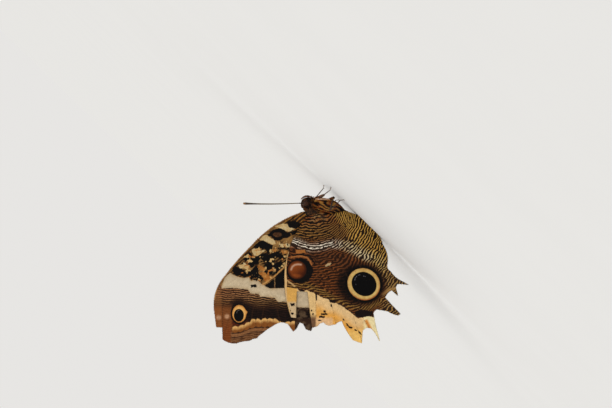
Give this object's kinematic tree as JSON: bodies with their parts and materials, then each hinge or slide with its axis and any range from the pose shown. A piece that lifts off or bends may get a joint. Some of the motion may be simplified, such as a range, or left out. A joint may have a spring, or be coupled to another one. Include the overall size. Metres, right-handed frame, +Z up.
{
  "type": "owl butterfly",
  "caption": "Life-size owl butterfly at rest on its walking legs, wings closed upright over the back, worn hindwing edges, large eyespots on the undersides and a mottled furry body.",
  "frame": {"origin": "centre of the bounding box in plan, at the level that the feet and the lower hindwing edges stand on", "axes": "+X the way the head points, +Y the insect's own left, +Z up"},
  "size_m": [0.1008, 0.0296, 0.095],
  "materials": {
    "body_hair": "matte hair-like scales, dark brown mottled with orange-tan",
    "eye": "glossy dark brown compound eye",
    "antenna": "satin olive-brown chitin with a darker club",
    "leg": "satin brown chitin with fine pale scales",
    "forewing": "dry powdery scales, brown, cream and black outside, dark brown with a violet-blue sheen inside",
    "hindwing": "dry powdery scales, finely rippled brown and cream with large eyespots outside, dark brown with a pale yellow margin inside"
  },
  "bodies": {
    "root": {"head": "body_hair", "thorax": "body_hair", "abdomen": "body_hair", "palp_left": "body_hair", "palp_right": "body_hair", "eye_left": "eye", "eye_right": "eye", "antenna_left": "antenna", "antenna_right": "antenna", "leg_front_left": "leg", "leg_front_right": "leg", "leg_mid_left": "leg", "leg_mid_right": "leg", "leg_hind_left": "leg", "leg_hind_right": "leg", "forewing_left": "forewing", "forewing_right": "forewing", "hindwing_left": "hindwing", "hindwing_right": "hindwing"}
  },
  "joints": []
}
